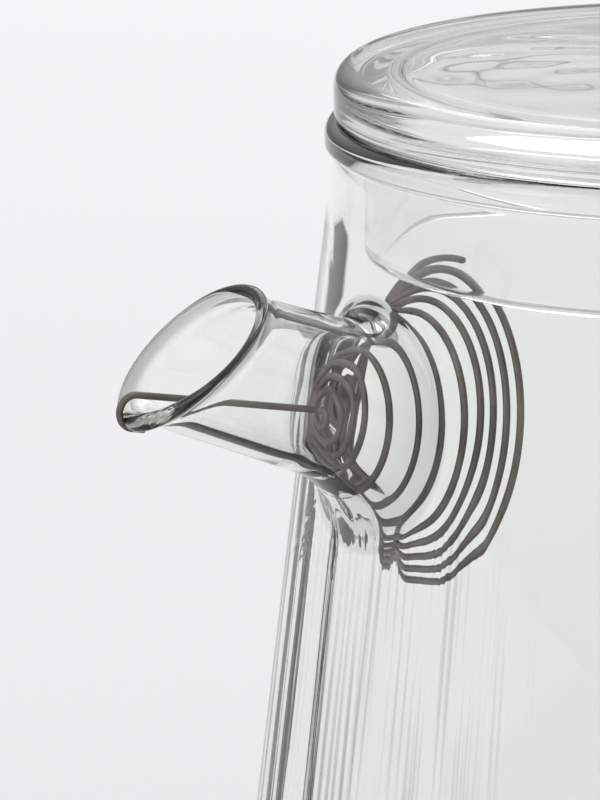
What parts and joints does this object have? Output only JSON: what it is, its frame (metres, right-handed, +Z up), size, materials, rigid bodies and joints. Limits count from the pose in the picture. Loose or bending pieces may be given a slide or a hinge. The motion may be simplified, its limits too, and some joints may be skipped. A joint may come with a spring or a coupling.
{
  "type": "pouring pot with spout strainer",
  "caption": "Conical glass pouring pot with a flat stopper lid, an oblique tube spout, a rod handle and a spiral wire strainer hooked over the lip.",
  "frame": {"origin": "middle of the pot's base, on the surface it stands on", "axes": "+Z up along the pot's axis; -X towards the spout; +X towards the handle"},
  "size_m": [0.1853, 0.127, 0.1529],
  "materials": {
    "glass": "clear, fire polished",
    "wire": "dark oxidised stainless wire, satin"
  },
  "bodies": {
    "pot": {"pot_body": "glass", "spout_tube": "glass", "spout_collar": "glass", "handle_upper_pad": "glass", "handle_lower_pad": "glass", "handle": "glass"},
    "lid": {"lid": "glass"},
    "strainer": {"strainer_coil": "wire", "strainer_stem": "wire"}
  },
  "joints": [
    {"name": "lid_lift", "type": "slide", "parent": "pot", "child": "lid", "axis": [0, 0, 1], "range_m": [0, 0.05]},
    {"name": "hook_pull", "type": "slide", "parent": "pot", "child": "strainer", "axis": [-0.9833, 0, 0.1822], "range_m": [0, 0.006], "stiffness_N_per_m": 28, "springref_m": -0.004, "deforming": ["strainer_coil"]}
  ]
}
